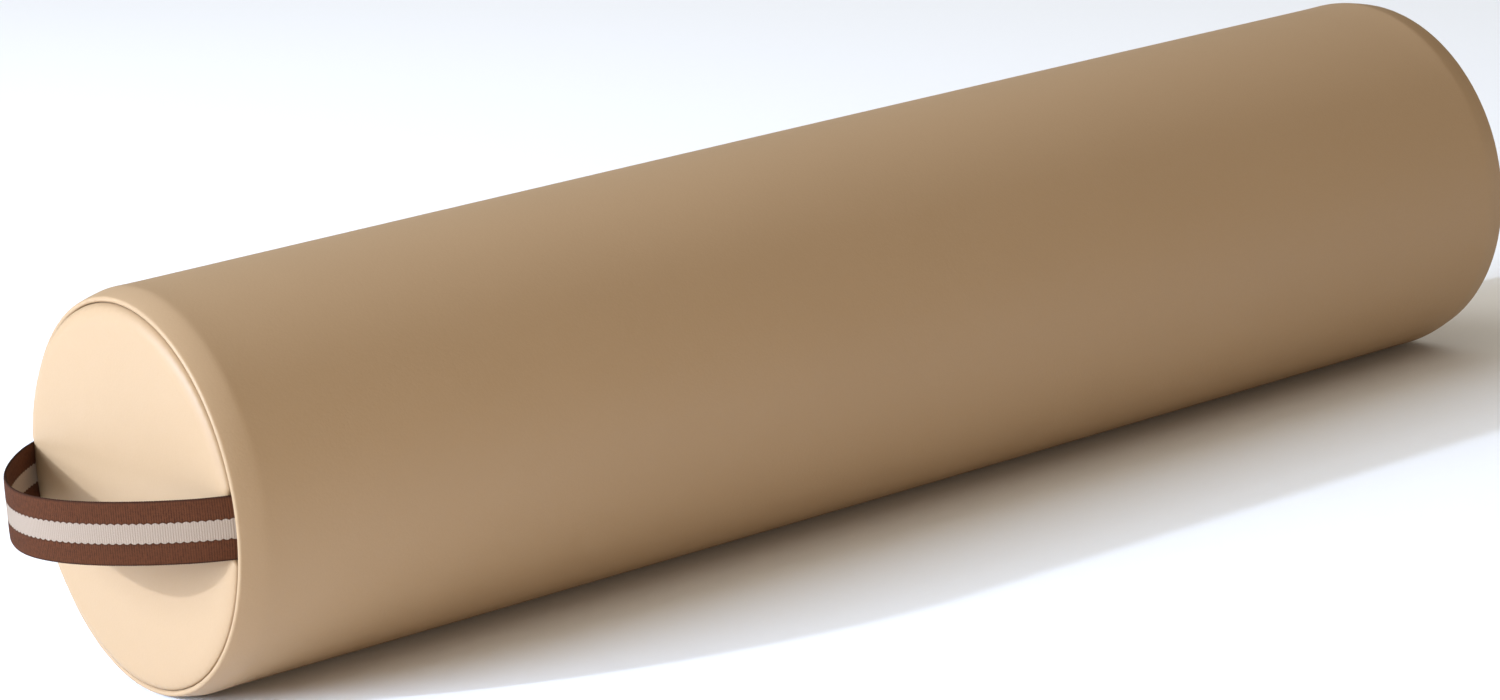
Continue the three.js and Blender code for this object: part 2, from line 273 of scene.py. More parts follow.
def leatherette_material():
    """Smooth cream leatherette: a fine pebbled grain, a slightly uneven gloss and painted shade in its
    seam grooves.
    """
    m = Recipe("leatherette")
    place = m.place()
    cells = m.add("TexVoronoi", {"Vector": place, "Scale": 1100.0, "Randomness": 0.9}, feature="SMOOTH_F1")
    creases = m.noise(place, 420.0, 4.0, 0.6)
    fine = m.noise(place, 2600.0, 2.0)
    cloudy = m.noise(place, 9.0, 3.0)
    tone = m.mix(cloudy, shade(LEATHERETTE, 0.965), shade(LEATHERETTE, 1.03))
    tone = m.mix(m.between(cells.outputs["Distance"], 0.0, 0.25), tone, shade(LEATHERETTE, 0.9))
    # painted shade: the seam attribute darkens the leatherette in its seam grooves and creases
    tone = m.mix(m.attribute("seam"), tone, shade(LEATHERETTE, 0.88))
    pebbles = m.maths("MULTIPLY", cells.outputs["Distance"], -1.0)
    height = m.maths("ADD", pebbles, m.maths("MULTIPLY", creases, 0.8))
    normal = m.bump(height, 0.06 * MM, 0.5)
    normal = m.bump(fine, 0.03 * MM, 0.35, normal)
    gloss = m.between(m.noise(place, 35.0, 4.0), 0.46, 0.58)
    return m.finish({
        "Base Color": tone,
        "Roughness": gloss,
        "Normal": normal,
        "Specular IOR Level": 0.28,
    })


LEATHER = leatherette_material()


WEBBING_BROWN = colour(0.056, 0.0172, 0.0060)
WEBBING_CREAM = colour(0.30, 0.225, 0.165)
RIB_PITCH = 0.95 * MM
SCALLOP_RIBS = 3  # ribs to each scallop of the cream band's edges
CREAM_HALF_WIDTH = 3.7 * MM
WEBBING_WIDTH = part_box("handle_loop")[1].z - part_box("handle_loop")[0].z
WEBBING_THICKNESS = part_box("handle_tail_front")[1].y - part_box("handle_tail_front")[0].y


def webbing_material():
    """Ribbed webbing: dark brown with a cream band, whose edges are scalloped by the ribs."""
    m = Recipe("webbing")
    parts = m.add("SeparateXYZ", {"Vector": m.attribute("weave", "Vector")})
    across, along = parts.outputs[0], parts.outputs[1]

    def wave(value, pitch):
        return m.maths("SINE", m.maths("MULTIPLY", value, 2 * math.pi / pitch))

    rib = m.ramp(wave(along, RIB_PITCH), -1.0, 1.0)
    lobe = m.maths("ABSOLUTE", wave(along, 2 * SCALLOP_RIBS * RIB_PITCH))
    from_middle = m.maths("ABSOLUTE", across)
    edge = m.maths("ADD", m.maths("MULTIPLY", lobe, 0.55 * MM), CREAM_HALF_WIDTH - 0.45 * MM)
    inside = m.maths("SUBTRACT", edge, from_middle)
    band = m.ramp(inside, -0.08 * MM, 0.08 * MM)
    yarn = m.maths("MULTIPLY", wave(across, 0.9 * MM), wave(along, RIB_PITCH))
    fuzz = m.noise(m.place(), 1500.0, 3.0)
    blotch = m.noise(m.place(), 800.0, 3.0, 0.7)
    brown = m.mix(rib, shade(WEBBING_BROWN, 0.6), shade(WEBBING_BROWN, 1.3))
    brown = m.mix(m.between(yarn, 0.0, 0.45), brown, shade(WEBBING_BROWN, 0.45))
    brown = m.mix(m.between(blotch, -0.5, 1.3), brown, shade(WEBBING_BROWN, 1.6))
    border = m.ramp(inside, -0.9 * MM, -0.1 * MM, 0.45)
    brown = m.mix(border, brown, shade(WEBBING_BROWN, 0.45))
    selvedge = m.ramp(from_middle, WEBBING_WIDTH / 2 - 0.9 * MM, WEBBING_WIDTH / 2)
    brown = m.mix(selvedge, brown, shade(WEBBING_BROWN, 0.35))
    cream = m.mix(rib, shade(WEBBING_CREAM, 0.86), shade(WEBBING_CREAM, 1.06))
    cream = m.mix(m.between(fuzz, 0.0, 0.35), cream, shade(WEBBING_CREAM, 0.84))
    height = m.maths("ADD", m.maths("MULTIPLY", yarn, 0.4), fuzz)
    return m.finish({
        "Base Color": m.mix(band, brown, cream),
        "Roughness": m.between(fuzz, 0.78, 0.95),
        "Normal": m.bump(height, 0.10 * MM, 0.6),
        "Specular IOR Level": 0.12,
    })


def woven_tape_material():
    """Beige zip tape in a fine herringbone."""
    m = Recipe("zip_tape")
    parts = m.add("SeparateXYZ", {"Vector": m.attribute("weave", "Vector")})
    across, along = parts.outputs[0], parts.outputs[1]
    zigzag = m.maths("PINGPONG", across, 1.6 * MM)
    slant = m.maths("ADD", along, zigzag)
    twill = m.maths("SINE", m.maths("MULTIPLY", slant, 2 * math.pi / (0.7 * MM)))
    raised = m.ramp(twill, -1.0, 1.0)
    fuzz = m.noise(m.place(), 2200.0, 2.0)
    base = colour(0.56, 0.42, 0.27)
    tone = m.mix(raised, shade(base, 0.7), shade(base, 1.1))
    tone = m.mix(m.between(fuzz, 0.0, 0.3), tone, shade(base, 0.8))
    return m.finish({
        "Base Color": tone,
        "Roughness": m.between(fuzz, 0.75, 0.92),
        "Normal": m.bump(m.maths("ADD", raised, fuzz), 0.08 * MM, 0.7),
        "Sheen Weight": 0.15,
    })


def moulded_material(name, base, rough, speckle=0.08):
    """Nylon monofilament or thread: nearly even, with a faint streak and a slightly uneven gloss."""
    m = Recipe(name)
    place = m.place()
    streak = m.noise(place, 700.0, 3.0)
    tone = m.mix(streak, shade(base, 1 - speckle), shade(base, 1 + speckle))
    return m.finish({
        "Base Color": tone,
        "Roughness": m.between(m.noise(place, 250.0), rough - 0.06, rough + 0.08),
        "Normal": m.bump(streak, 0.02 * MM, 0.4),
        "Specular IOR Level": 0.45,
    })


def zip_metal_material():
    """Nickel-plated casting: tumbled and slightly satin, duller in scattered small marks."""
    m = Recipe("zip_metal")
    place = m.place()
    tumble = m.noise(place, 900.0, 4.0, 0.6)
    marks = m.noise(place, 160.0, 3.0)
    base = colour(0.62, 0.60, 0.56)
    return m.finish({
        "Base Color": m.mix(marks, shade(base, 0.86), shade(base, 1.06)),
        "Metallic": 1.0,
        "Roughness": m.between(marks, 0.22, 0.40),
        "Normal": m.bump(tumble, 0.02 * MM, 0.35),
    })


def foam_material():
    """Open-cell foam: pale yellow, pitted with small cells."""
    m = Recipe("core_foam")
    place = m.place()
    cells = m.add("TexVoronoi", {"Vector": place, "Scale": 900.0}).outputs["Distance"]
    base = colour(0.85, 0.76, 0.50)
    tone = m.mix(m.between(cells, 0.0, 0.8), shade(base, 0.72), base)
    tone = m.mix(m.between(m.noise(place, 14.0), 0.0, 0.3), tone, shade(base, 0.88))
    return m.finish({
        "Base Color": tone,
        "Roughness": m.between(cells, 0.85, 1.0),
        "Normal": m.bump(cells, 0.4 * MM, 0.8),
        "Specular IOR Level": 0.2,
    })


def wadding_material():
    """White polyester wadding: soft crossing fibres."""
    m = Recipe("wadding")
    place = m.place()
    stretched = m.add("Mapping", {"Vector": place, "Scale": (1.0, 9.0, 9.0)}).outputs["Vector"]
    fibres = m.noise(stretched, 260.0, 6.0, 0.7)
    tufts = m.noise(place, 45.0, 4.0)
    base = colour(0.82, 0.81, 0.78)
    return m.finish({
        "Base Color": m.mix(fibres, shade(base, 0.82), shade(base, 1.05)),
        "Roughness": m.between(fibres, 0.88, 1.0),
        "Normal": m.bump(m.maths("ADD", fibres, tufts), 0.8 * MM, 0.7),
        "Sheen Weight": 0.3,
    })


WEBBING = webbing_material()
TAPE = woven_tape_material()
NYLON = moulded_material("zip_coil", colour(0.60, 0.47, 0.32), 0.38)
THREAD = moulded_material("thread", colour(0.66, 0.50, 0.33), 0.6, 0.15)
METAL = zip_metal_material()
FOAM = foam_material()
WADDING = wadding_material()

# ---- the cover's shape ----

GROOVE_RADIUS = 72.1 * MM  # the end seams' stitch line
LIP_ROLL = 1.1 * MM  # the tube panel rolls over into each end seam
LIP_MIDDLE = (-0.6 * MM, GROOVE_RADIUS + LIP_ROLL)  # the roll's middle: distance in from the seam, radius
LIP_TURN = math.radians(74)  # from straight out of the end to where the roll meets the shoulder
CORNER_RUN, DIP_RUN = 3 * MM, 14 * MM  # along the cover, over and past the foam's edge
BULGE = 0.3 * MM  # the tube's radius is this much more at its middle
FOLD_ROLL = 0.9 * MM  # the folded edges along the zip
SLOT_HALF_WIDTH, SLOT_HALF_LENGTH = 5 * MM, 286 * MM
TOPSTITCH_IN = 3.2 * MM  # from the folded edge
HALF_ROUND = math.pi * RADIUS
LEAN_ACROSS, LEAN_UP = 0.035, 0.015  # the handle end leans: its back and its top are pushed in a little


def lean(points):
    """Tilts what lies at the handle end, fading out past its shoulder."""
    x, y, z = points[..., 0], points[..., 1], points[..., 2]
    share = 1 - smoothstep(0, 30 * MM, x + SEAM_X)
    points[..., 0] = x + (LEAN_ACROSS * y + LEAN_UP * (z - AXIS_Z)) * share
    return points


def shoulder_profile(steps=45):
    """The shoulder's outer points and directions: a slope, a corner over the foam's edge, a slight dip.

    Points are distance in from the seam and radius. Directions are turns from straight out of the end.
    """
    start_x = LIP_MIDDLE[0] - LIP_ROLL * math.cos(LIP_TURN)
    start_r = LIP_MIDDLE[1] + LIP_ROLL * math.sin(LIP_TURN)
    turns = np.array([LIP_TURN, math.radians(80), math.radians(91), math.radians(90)])
    rises = np.diff(np.sin(turns)) / np.diff(turns)  # the mean rise along each run
    slope_run = (RADIUS - start_r - rises[1] * CORNER_RUN - rises[2] * DIP_RUN) / rises[0]
    marks = np.cumsum([0, slope_run, CORNER_RUN, DIP_RUN])
    along = np.concatenate([
        np.linspace(marks[0], marks[1], steps // 2),
        np.linspace(marks[1], marks[2], 8)[1:],
        np.linspace(marks[2], marks[3], steps // 3)[1:],
    ])
    turn = np.interp(along, marks, turns)
    middle = (turn[1:] + turn[:-1]) / 2
    step = np.diff(along)
    x = start_x + np.concatenate([[0], np.cumsum(np.sin(middle) * step)])
    r = start_r + np.concatenate([[0], np.cumsum(np.cos(middle) * step)])
    return np.stack([x, r], -1), turn


SHOULDER, SHOULDER_TURN = shoulder_profile()
SHOULDER_IN = SHOULDER + COVER * np.stack([np.cos(SHOULDER_TURN), -np.sin(SHOULDER_TURN)], -1)
SHOULDER_END = SHOULDER[-1, 0]


def body_radius(inwards):
    """The tube's radius at a distance from the nearer end seam."""
    past = np.clip((inwards - SHOULDER_END) / (LENGTH - 2 * SHOULDER_END), 0, 1)
    return np.interp(inwards, SHOULDER[:, 0], SHOULDER[:, 1]) + BULGE * np.sin(math.pi * past)


def lip_profile(steps=10):
    """The tube panel's rolled edge, from inside the seam outwards, and the fold behind it."""
    turn = np.linspace(-math.pi / 2, LIP_TURN, steps)
    out_x = LIP_MIDDLE[0] - LIP_ROLL * np.cos(turn)
    out_r = LIP_MIDDLE[1] + LIP_ROLL * np.sin(turn)
    out_x = np.concatenate([[1.8 * MM, 0.7 * MM], out_x])
    out_r = np.concatenate([[GROOVE_RADIUS, GROOVE_RADIUS], out_r])
    fold = np.linspace(0, 1, len(out_x))
    behind_x, behind_r = SHOULDER_IN[0]
    in_x = 1.9 * MM + (behind_x - 1.9 * MM) * fold
    in_r = GROOVE_RADIUS + 0.6 * MM + (behind_r - GROOVE_RADIUS - 0.6 * MM) * fold
    return np.stack([out_x, out_r], -1), np.stack([in_x, in_r], -1)


def tube_profile():
    """Outer and inner points, as distance along and radius, from the handle end to the plain end."""
    lip_out, lip_in = lip_profile()
    steps = np.concatenate([np.full(10, 2.5), np.full(8, 4.0), np.full(64, 8.0)]) * MM
    along = SHOULDER_END + np.cumsum(steps)
    along = along[along < LENGTH / 2 - 2 * MM]
    body_out = np.stack([along, body_radius(along)], -1)
    body_in = body_out - [0, COVER]
    middle = np.array([[LENGTH / 2, body_radius(np.array(LENGTH / 2))]])
    profiles = []
    for half, centre in (
        (np.concatenate([lip_out, SHOULDER[1:], body_out]), middle),
        (np.concatenate([lip_in, SHOULDER_IN[1:], body_in]), middle - [0, COVER]),
    ):
        mirrored = half[::-1] * [-1, 1] + [LENGTH, 0]
        profiles.append(np.concatenate([half, centre, mirrored]) - [SEAM_X, 0])
    return profiles


def slot_half_gap(x):
    """Half of the gap between the tube panel's folded edges: the zip shows along the middle."""
    open_part = 1 - smoothstep(SLOT_HALF_LENGTH - 9 * MM, SLOT_HALF_LENGTH, np.abs(x))
    return 0.12 * MM + (SLOT_HALF_WIDTH - 0.12 * MM) * open_part


RIM_ROLL, RIM_STAND = 7.0 * MM, 4.2 * MM  # the end panel rounds over into its seam
RIM_FLOOR = 1.0 * MM  # where it meets the tube panel's rolled edge
BACK_STAND = 1.7 * MM  # the handle end's rim stands out this much more at its upper back
FULLEST = math.radians(40)  # where it does, above level on the +Y side


def uneven(angle):
    """How much further the handle end's rim stands out at an angle."""
    return BACK_STAND * np.cos(angle - FULLEST)


def end_face(radius, rim, extra=0.0):
    """How far an end panel stands out past the seam at a radius."""
    stand = RIM_STAND + extra
    middle = (DOME - stand) * (1 - np.clip(radius / rim, 0, 1) ** 2)
    over = np.clip((radius - rim + RIM_ROLL) / RIM_ROLL, 0, 1)
    return middle + RIM_FLOOR + (stand - RIM_FLOOR) * (1 - over**2.2) ** 0.5


# ---- how the filling swells the cover, by cloth simulation ----

SWELL_MOST = 1.2 * MM
SIM_COLUMNS, SIM_FRAMES = 96, 20


def simulated_swell():
    """Inflates a plain copy of the whole cover, held at its seams and along its zip.

    Returns where its points were, how far each moved outwards, and the tube's distances along.
    """
    near = np.array([0, 3, 6, 10, 15, 20, 26, 34, 44]) * MM
    inner = np.linspace(56, LENGTH * 1000 - 56, 46) * MM
    along = np.concatenate([near, inner, LENGTH - near[::-1]]) - SEAM_X
    rings = np.linspace(1, 0, 9)
    angles = np.linspace(0, 2 * math.pi, SIM_COLUMNS + 1)
    seam = np.full(1, GROOVE_RADIUS)
    radii = np.concatenate([seam, body_radius(np.minimum(along + SEAM_X, SEAM_X - along))[1:-1], seam])
    tube = round_bolster(along[:, None], radii[:, None], angles[None])
    start = len(tube.reshape(-1, 3))
    points, faces = [tube.reshape(-1, 3)], [grid_faces(len(along), len(angles))]
    for end in (-1, 1):
        radius = GROOVE_RADIUS * rings[:, None]
        disc = round_bolster(end * (SEAM_X + end_face(radius, GROOVE_RADIUS)), radius, angles[None])
        points.append(disc.reshape(-1, 3))
        faces.append(grid_faces(len(rings), len(angles), start))
        start += len(rings) * len(angles)
    bag = mesh_object("cover_simulation", np.concatenate(points), np.concatenate(faces))
    mesh = bag.data
    before = np.array([vertex.co for vertex in mesh.vertices])
    level = np.hypot(before[:, 1], before[:, 2] - AXIS_Z)
    turn = np.arctan2(before[:, 2] - AXIS_Z, before[:, 1])
    at_seam = (np.abs(np.abs(before[:, 0]) - SEAM_X) < 0.5 * MM) & (level > GROOVE_RADIUS - MM)
    at_zip = (np.abs(turn - ZIP_ANGLE) * RADIUS < 7 * MM) & (np.abs(before[:, 0]) < SLOT_HALF_LENGTH)
    held = bag.vertex_groups.new(name="held")
    held.add(np.nonzero(at_seam | at_zip)[0].tolist(), 1.0, "REPLACE")
    cloth = bag.modifiers.new("Cloth", "CLOTH")
    settings = cloth.settings
    settings.quality = 6
    settings.mass = 0.4
    settings.tension_stiffness = 12
    settings.compression_stiffness = 12
    settings.shear_stiffness = 6
    settings.bending_stiffness = 1.5
    settings.vertex_group_mass = "held"
    settings.use_pressure = True
    settings.uniform_pressure_force = 4
    settings.effector_weights.gravity = 0
    cloth.point_cache.frame_start, cloth.point_cache.frame_end = 1, SIM_FRAMES
    scene = bpy.context.scene
    for number in range(1, SIM_FRAMES + 1):
        scene.frame_set(number)
    swollen = bag.evaluated_get(bpy.context.evaluated_depsgraph_get()).to_mesh()
    after = np.array([vertex.co for vertex in swollen.vertices])
    scene.frame_set(1)
    moved = after - before
    outwards = moved[:, 1] * np.cos(turn) + moved[:, 2] * np.sin(turn)
    bpy.data.objects.remove(bag)
    return before, outwards, along


def swell_lookup():
    """A function of distance along and angle: how far the filling pushes the tube out there."""
    before, outwards, along = simulated_swell()
    turn = np.arctan2(before[:, 2] - AXIS_Z, before[:, 1]) % (2 * math.pi)
    grid = np.zeros((len(along), SIM_COLUMNS))
    for row, x in enumerate(along[1:-1], 1):
        ring = np.nonzero(np.abs(before[:, 0] - x) < 1e-6)[0]
        columns = np.rint(turn[ring] / (2 * math.pi) * SIM_COLUMNS).astype(int) % SIM_COLUMNS
        grid[row, columns] = outwards[ring]
    print("swell mm: mean %.3f, least %.3f, most %.3f" % tuple(
        value / MM for value in (grid[1:-1].mean(), grid[1:-1].min(), grid[1:-1].max())))
    grid = np.clip(grid - grid[1:-1].mean(), -SWELL_MOST, SWELL_MOST)
    wrapped = np.concatenate([grid, grid[:, :1]], 1)

    def swell(x, angle):
        x, angle = np.broadcast_arrays(x, np.asarray(angle) % (2 * math.pi))
        column = angle / (2 * math.pi) * SIM_COLUMNS
        low = np.minimum(column.astype(int), SIM_COLUMNS - 1)
        part = column - low
        part = part * part * (3 - 2 * part)
        row = np.interp(x, along, np.arange(len(along)))
        top = np.minimum(row.astype(int), len(along) - 2)
        share = row - top
        first = wrapped[top, low] * (1 - part) + wrapped[top, low + 1] * part
        second = wrapped[top + 1, low] * (1 - part) + wrapped[top + 1, low + 1] * part
        inwards = SEAM_X - np.abs(x)
        return (first * (1 - share) + second * share) * smoothstep(8 * MM, 30 * MM, inwards)

    return swell


# ---- the cover ----


def make_tube_panel(swell):
    """One sheet round the bolster, folded under along the zip and rolled over at the end seams."""
    outer_profile, inner_profile = tube_profile()
    edge = np.array([0, .12, .3, .5, .7, .9, 1.3, 1.9, 2.5, 2.9, 3.2, 3.5, 3.9, 4.6, 5.6, 7, 9]) * MM
    around = np.linspace(9 * MM, HALF_ROUND, 84)[1:]
    distance = np.concatenate([edge, around])
    gap = slot_half_gap(outer_profile[:, 0])[:, None]
    reach = distance[None] * (HALF_ROUND - gap) / HALF_ROUND
    forwards = ZIP_ANGLE + (gap + reach) / RADIUS
    backwards = ZIP_ANGLE + 2 * math.pi - (gap + reach[:, :-1]) / RADIUS
    angle = np.concatenate([forwards, backwards[:, ::-1]], 1)
    from_edge = np.concatenate([reach, reach[:, :-1][:, ::-1]], 1)
    x = outer_profile[:, :1]
    inwards = SEAM_X - np.abs(x)
    roll_in = np.clip(FOLD_ROLL - from_edge, 0, FOLD_ROLL)
    fold = FOLD_ROLL - np.sqrt(np.clip(FOLD_ROLL**2 - roll_in**2, 0, None))
    beside_zip = smoothstep(0, 8 * MM, SLOT_HALF_LENGTH + 6 * MM - np.abs(x))
    sewn_down = 0.28 * MM * bell(from_edge, TOPSTITCH_IN, 0.9 * MM) * beside_zip
    plump = 0.25 * MM * bell(from_edge, 1.7 * MM, 1.2 * MM)
    on_body = smoothstep(0, 6 * MM, inwards)
    lift = swell(x, angle) + (plump - sewn_down) * on_body - fold * smoothstep(-1 * MM, 3 * MM, inwards)
    pucker = 0.04 * MM * np.sin(angle * 110) * bell(inwards, 1.5 * MM, 3 * MM)
    outer = round_bolster(x, outer_profile[:, 1:] + lift + pucker, angle)
    inner = round_bolster(inner_profile[:, :1], inner_profile[:, 1:] + swell(x, angle), angle)
    # painted shade: how much the material darkens the rolled seam edges, the zip's folded edges and the
    # topstitch line
    seam_shade = np.zeros(angle.shape)
    in_lip = np.arange(len(x)) < 6
    in_lip = in_lip | in_lip[::-1]
    seam_shade[in_lip] = np.concatenate([[1, 1, 0.9, 0.6, 0.3, 0.1], [0.1, 0.3, 0.6, 0.9, 1, 1]])[:, None]
    seam_shade = np.maximum(seam_shade, 0.6 * bell(from_edge, 0, 0.5 * MM))
    seam_shade = np.maximum(seam_shade, 0.25 * bell(from_edge, TOPSTITCH_IN, 0.5 * MM) * beside_zip)
    outer, inner = lean(rest_on_floor(outer)), lean(rest_on_floor(inner, COVER))
    return dressed(closed_sheet("cover_tube", outer, inner, {"seam": seam_shade}), LEATHER)


ANCHOR_RADIUS = GROOVE_RADIUS - 0.95 * MM  # the webbing's middle line where it is sewn in


def make_end_panel(name, end, has_handle):
    """A round panel, domed by its pad and pulled in to the seam, with the webbing let in at its edge."""
    rim = GROOVE_RADIUS - 0.15 * MM
    near_rim = 1 - 0.1 * np.cos(np.linspace(0, math.pi / 2, 25))
    share = np.concatenate([np.linspace(0, 0.88, 30), near_rim])
    angle = np.linspace(0, 2 * math.pi, 361)[None]
    pinch = np.zeros(angle.shape)
    if has_handle:
        half = math.asin(WEBBING_WIDTH / 2 / ANCHOR_RADIUS)
        for anchor in (0, math.pi, 2 * math.pi):
            pinch = np.maximum(pinch, 1 - smoothstep(half + 0.004, half + 0.035, np.abs(angle - anchor)))
    let_in = (WEBBING_THICKNESS + 0.25 * MM) * pinch
    radius = rim * share[:, None] - let_in * share[:, None] ** 12
    ripple = 0.06 * MM * np.sin(angle * 97) * bell(share[:, None], 0.985, 0.02)
    extra = uneven(angle) if has_handle else 0.0
    stand = end_face(rim * share[:, None], rim, extra) + ripple
    flank = np.linspace(-0.7, 2.2, 6)[:, None] * MM
    radius = np.concatenate([radius, np.repeat(rim - let_in, 6, 0)])
    stand = np.concatenate([stand, -flank + 0 * angle])
    outer = round_bolster(end * (SEAM_X + stand), radius, angle)
    under = np.minimum(radius, rim - let_in - COVER)
    inner = round_bolster(end * (SEAM_X + stand - COVER), under, angle)
    edge = np.concatenate([share, np.ones(6)])[:, None]
    # painted shade: how much the material darkens the panel's rim where it rounds into the seam
    seam_shade = 0.5 * smoothstep(0.965, 1.0, edge) + 0 * angle
    if has_handle:
        outer, inner = lean(outer), lean(inner)
    return dressed(closed_sheet(name, outer, inner, {"seam": seam_shade}, columns_closed=True), LEATHER)


# ---- the handle ----

HANDLE_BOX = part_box("handle_loop")
HANDLE_REACH = -SEAM_X - HANDLE_BOX[0].x - WEBBING_THICKNESS / 2
TAIL_DEPTH = 6 * MM


def handle_path():
    """The webbing's middle line seen from above: distance out from the seam and Y, at even steps."""
    corner = [(0, ANCHOR_RADIUS), (11 * MM, 65 * MM), (HANDLE_REACH, 34 * MM), (HANDLE_REACH, 0)]
    t = np.linspace(0, 1, 400)[:, None]
    weights = [(1 - t) ** 3, 3 * (1 - t) ** 2 * t, 3 * (1 - t) * t**2, t**3]
    half = sum(weight * np.array(point) for weight, point in zip(weights, corner))
    tail = np.stack([np.linspace(-TAIL_DEPTH, 0, 20)[:-1], np.full(19, ANCHOR_RADIUS)], -1)
    half = np.concatenate([tail, half])
    whole = np.concatenate([half * [1, -1], half[::-1][1:]])
    length = np.concatenate([[0], np.cumsum(np.linalg.norm(np.diff(whole, axis=0), axis=1))])
    even = np.linspace(0, length[-1], int(length[-1] / (RIB_PITCH / 4)) + 1)
    return np.stack([np.interp(even, length, whole[:, k]) for k in (0, 1)], -1), even


def make_handle():
    """One length of ribbed webbing, sewn into the end seam at both ends."""
    path, along = handle_path()
    tangent = np.gradient(path, axis=0)
    tangent /= np.linalg.norm(tangent, axis=1)[:, None]
    normal = np.stack([tangent[:, 1], -tangent[:, 0]], -1)
    share = np.sin(np.linspace(-1, 1, 29) * math.pi / 2)[None]
    rib = np.cos(2 * math.pi * along / RIB_PITCH)[:, None]
    out, side = path[:, :1], path[:, 1:]
    across = share * (WEBBING_WIDTH / 2 + 0.08 * MM * rib * np.abs(share) ** 20)
    fullness = np.sqrt(np.clip(1 - np.abs(share) ** 9, 0, 1))
    thick = fullness * (WEBBING_THICKNESS / 2 - 0.1 * MM + 0.05 * MM * rib)
    selvedge = 0.12 * MM * bell(np.abs(share), 0.93, 0.05)
    thick = thick + selvedge
    follows_seam = 1 - smoothstep(0, 14 * MM, out)
    bow = ANCHOR_RADIUS - np.sqrt(ANCHOR_RADIUS**2 - across**2)
    side = side - np.sign(side) * bow * follows_seam
    faces = []
    for way in (1, -1):
        x = -SEAM_X - (out + way * thick * normal[:, :1])
        y = side + way * thick * normal[:, 1:]
        faces.append(np.stack(np.broadcast_arrays(x, y, AXIS_Z + across), -1))
    weave = np.stack(np.broadcast_arrays(across, along[:, None], 0.0), -1)
    return dressed(closed_sheet("handle_webbing", *map(lean, faces), {"weave": weave}), WEBBING)


# ---- the zip ----

TAPE_TOP, TAPE_THICKNESS = -1.3 * MM, 0.6 * MM  # heights are relative to the cover's radius
TAPE_HALF_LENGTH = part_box("zip_tape_upper")[1].x
TAPE_FROM, TAPE_TO = 0.6 * MM, 16 * MM  # across, from the zip's middle line
COIL_HALF_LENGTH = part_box("zip_coil_upper")[1].x
COIL_PITCH, WIRE = 1.27 * MM, 0.27 * MM
COIL_MIDDLE, COIL_ACROSS = 1.3 * MM, 1.6 * MM
COIL_LEVEL, COIL_HEIGHT = -0.2 * MM, 0.6 * MM
ZIP_SIDES = (("upper", -1), ("lower", 1))
STITCH_PITCH, STITCH_LENGTH, STITCH_RADIUS = 4.2 * MM, 3.3 * MM, 0.24 * MM


def on_zip(points):
    """Points in the frame, from (along, across, height over the cover's radius) flat on the zip."""
    points = np.asarray(points, float).reshape(-1, 3)
    out = np.array([0, math.cos(ZIP_ANGLE), math.sin(ZIP_ANGLE)])
    across = np.array([0, math.sin(ZIP_ANGLE), -math.cos(ZIP_ANGLE)])
    places = points[:, 1:2] * across + (RADIUS + points[:, 2:]) * out
    return places + points[:, :1] * [1, 0, 0] + [0, 0, AXIS_Z]


def zip_piece(name, parts, material):
    points, faces = joined(parts)
    return dressed(mesh_object(name, on_zip(points), faces), material)


def make_zip_tape(side, direction):
    """A woven tape that follows the cover round, with a thicker edge under the coil."""
    x = np.linspace(-TAPE_HALF_LENGTH, TAPE_HALF_LENGTH, 121)[:, None]
    y = TAPE_FROM + (TAPE_TO - TAPE_FROM) * np.linspace(0, 1, 18)[None]
    angle = ZIP_ANGLE - direction * y / RADIUS
    hem = 0.1 * MM * bell(y, TAPE_TO - 0.7 * MM, 0.5 * MM)
    outer = round_bolster(x, RADIUS + TAPE_TOP - 0.1 * MM + hem, angle)
    inner = round_bolster(x, RADIUS + TAPE_TOP - TAPE_THICKNESS, angle)
    weave = np.stack(np.broadcast_arrays(y, x, 0.0), -1)
    return dressed(closed_sheet("zipper_tape_" + side, outer, inner, {"weave": weave}), TAPE)


def make_zip_coil(side, direction):
    """One side's nylon coil, and the two rows of thread that sew it to its tape."""
    turns = int(2 * (COIL_HALF_LENGTH - WIRE) / COIL_PITCH) - 1
    steps = 12
    theta = np.arange(turns * steps + 1) * 2 * math.pi / steps
    start = -COIL_HALF_LENGTH + WIRE + (COIL_PITCH / 2 if direction > 0 else 0)
    x = start + COIL_PITCH * theta / (2 * math.pi)
    y = direction * (COIL_MIDDLE + COIL_ACROSS * np.cos(theta))
    v = COIL_LEVEL + COIL_HEIGHT * np.sin(theta)
    along = np.tile([1.0, 0, 0], (len(x), 1))
    parts = [swept_tube(np.stack([x, y, v], -1), along, WIRE, 6)]
    up = np.tile([0, 0, 1.0], (len(x) // 3 + 1, 1))
    for across in (1.45 * MM, 2.1 * MM):
        over = COIL_LEVEL + COIL_HEIGHT + 0.24 * MM + 0.05 * MM * np.cos(theta[::3] - math.pi / 2)
        row = np.stack([x[::3], np.full(len(over), direction * across), over], -1)
        parts.append(swept_tube(row, up[: len(row)], 0.1 * MM, 5, across=0.16 * MM))
    return zip_piece("zipper_coil_" + side, parts, NYLON)


def rounded_loop(low, high, corner, steps=6):
    """A rectangle's outline with round corners, between two (x, y) corners."""
    points = []
    corners = high, (low[0], high[1]), low, (high[0], low[1])
    for quarter, (x, y) in enumerate(corners):
        middle_x = x - corner if x == high[0] else x + corner
        middle_y = y - corner if y == high[1] else y + corner
        for turn in np.linspace(quarter, quarter + 1, steps) * math.pi / 2:
            points.append((middle_x + corner * math.cos(turn), middle_y + corner * math.sin(turn)))
    return points


